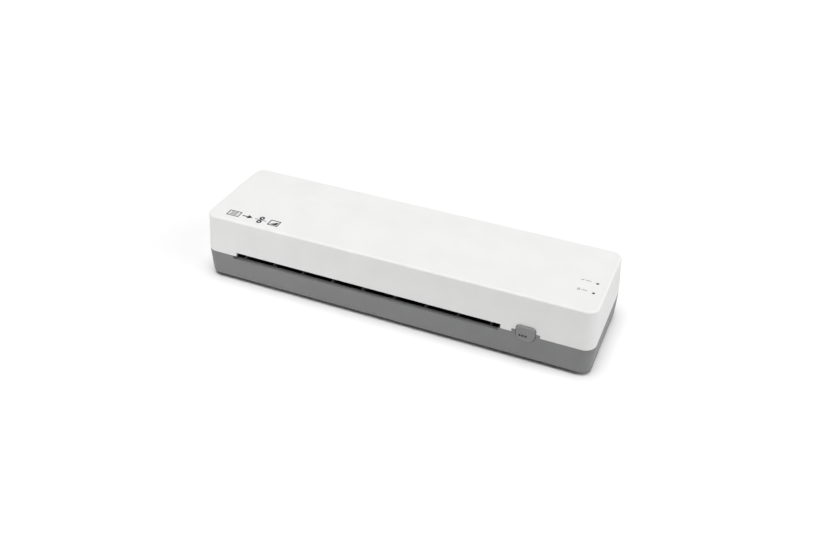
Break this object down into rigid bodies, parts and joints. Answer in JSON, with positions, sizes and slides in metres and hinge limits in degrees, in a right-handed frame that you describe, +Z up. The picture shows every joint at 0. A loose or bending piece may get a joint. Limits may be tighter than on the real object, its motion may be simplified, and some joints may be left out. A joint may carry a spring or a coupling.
{
  "type": "pouch laminator",
  "caption": "Desktop pouch laminator: long two-tone case with a front pouch slot, guide ribs, a release button, hot plates and geared silicone rollers.",
  "frame": {"origin": "middle of the footprint, on the surface the feet stand on", "axes": "+X along the length to the right of a user in front, +Y from the pouch slot to the rear, +Z up"},
  "size_m": [0.3366, 0.0948, 0.06],
  "materials": {
    "cover_white": "fine-textured white ABS",
    "base_grey": "fine-textured mid-grey ABS",
    "button_grey": "satin mid-grey ABS",
    "foot_rubber": "matte black rubber",
    "black_plastic": "matte black moulding",
    "rocker_black": "polished black nylon",
    "holder_brown": "dark brown phenolic",
    "natural_plastic": "natural acetal",
    "gear_white": "white acetal",
    "zinc_steel": "zinc-plated steel",
    "ground_steel": "ground steel",
    "sheet_steel": "galvanised sheet",
    "motor_steel": "zinc-plated can",
    "silicone_orange": "heat-proof silicone rubber",
    "plate_aluminium": "extruded aluminium",
    "element_foil": "foil-wrapped heating element",
    "smoke_lens": "smoked light pipe",
    "board_green": "green laminate",
    "can_black": "black phenolic can",
    "fuse_brass": "brass case",
    "capacitor_blue": "blue coating"
  },
  "bodies": {
    "root": {"top_cover": "cover_white", "base_housing": "base_grey", "rubber_feet": "foot_rubber", "case_screws": "zinc_steel", "button_guide": "black_plastic", "crank_pivot_pin": "ground_steel", "crank_spring": "zinc_steel", "ready_lens": "smoke_lens", "power_lens": "smoke_lens", "led_board": "board_green", "side_frame_left": "sheet_steel", "side_frame_right": "sheet_steel", "lower_bush_left": "natural_plastic", "lower_bush_right": "natural_plastic", "pressure_spring_left": "zinc_steel", "pressure_spring_right": "zinc_steel", "idler_stud": "ground_steel", "gear_motor": "motor_steel", "gear_plate": "sheet_steel", "motor_screws": "zinc_steel", "frame_screws": "zinc_steel", "lower_heater_plate": "plate_aluminium", "upper_heater_plate": "plate_aluminium", "lower_heating_element": "element_foil", "upper_heating_element": "element_foil", "lower_clamp_strip": "sheet_steel", "upper_clamp_strip": "sheet_steel", "heater_holder_left": "holder_brown", "heater_holder_right": "holder_brown", "thermostat": "can_black", "thermal_fuse": "fuse_brass", "infeed_guide_lower": "black_plastic", "infeed_guide_upper": "black_plastic", "exit_guide_lower": "black_plastic", "exit_guide_upper": "black_plastic", "control_board": "board_green", "triac_heatsink": "plate_aluminium", "board_capacitor": "capacitor_blue", "board_screws": "zinc_steel", "rocker_housing": "black_plastic", "cable_gland": "black_plastic"},
    "lower_roller": {"lower_roller_sleeve": "silicone_orange", "lower_roller_shaft": "ground_steel", "lower_roller_gear": "gear_white", "lower_shaft_clip": "zinc_steel"},
    "upper_carriage": {"bearing_block_left": "natural_plastic", "bearing_block_right": "natural_plastic"},
    "upper_roller": {"upper_roller_sleeve": "silicone_orange", "upper_roller_shaft": "ground_steel", "upper_roller_gear": "gear_white", "upper_shaft_clip": "zinc_steel"},
    "motor_pinion": {"motor_shaft": "ground_steel", "drive_pinion": "gear_white"},
    "idler_sleeve": {"idler_sleeve": "natural_plastic"},
    "idler_gear": {"idler_gear": "gear_white"},
    "abs_button": {"abs_button": "button_grey"},
    "release_crank": {"release_crank": "natural_plastic"},
    "power_rocker": {"power_rocker": "rocker_black"}
  },
  "joints": [
    {"name": "lower_roller_spin", "type": "hinge", "parent": "root", "child": "lower_roller", "pos_m": [-0.021, 0.018, 0.0174], "axis": [-1, 0, 0], "continuous": true},
    {"name": "upper_carriage_lift", "type": "slide", "parent": "root", "child": "upper_carriage", "axis": [0, 0, 1], "range_m": [0, 0.0012], "stiffness_N_per_m": 8000, "springref_m": -0.001, "deforming": ["pressure_spring_left", "pressure_spring_right"]},
    {"name": "upper_roller_spin", "type": "hinge", "parent": "upper_carriage", "child": "upper_roller", "pos_m": [-0.021, 0.018, 0.0374], "axis": [-1, 0, 0], "continuous": true},
    {"name": "release_press", "type": "slide", "parent": "root", "child": "abs_button", "axis": [0, 1, 0], "range_m": [0, 0.0035], "stiffness_N_per_m": 500, "springref_m": -0.002},
    {"name": "crank_turn", "type": "hinge", "parent": "root", "child": "release_crank", "pos_m": [0.1278, -0.01914, 0.0269], "axis": [0, 0, -1], "range_deg": [0, 16.8]},
    {"name": "sleeve_shift", "type": "slide", "parent": "root", "child": "idler_sleeve", "axis": [1, 0, 0], "range_m": [0, 0.00502]},
    {"name": "idler_spin", "type": "hinge", "parent": "idler_sleeve", "child": "idler_gear", "pos_m": [0.107, -0.002, 0.0174], "axis": [-1, 0, 0], "continuous": true},
    {"name": "pinion_spin", "type": "hinge", "parent": "root", "child": "motor_pinion", "pos_m": [0.109, -0.002, 0.0334], "axis": [-1, 0, 0], "continuous": true},
    {"name": "rocker_flip", "type": "hinge", "parent": "root", "child": "power_rocker", "pos_m": [0.121, 0.04275, 0.014], "axis": [0, 0, 1], "range_deg": [0, 20]}
  ],
  "couplings": [
    {"joint": "upper_roller_spin", "follows": "lower_roller_spin", "ratio": -1},
    {"joint": "idler_spin", "follows": "lower_roller_spin", "ratio": -1},
    {"joint": "pinion_spin", "follows": "lower_roller_spin", "ratio": 1.6667},
    {"joint": "crank_turn", "follows": "release_press", "rad_per_m": 83.333},
    {"joint": "sleeve_shift", "follows": "release_press", "ratio": 1.4286}
  ]
}
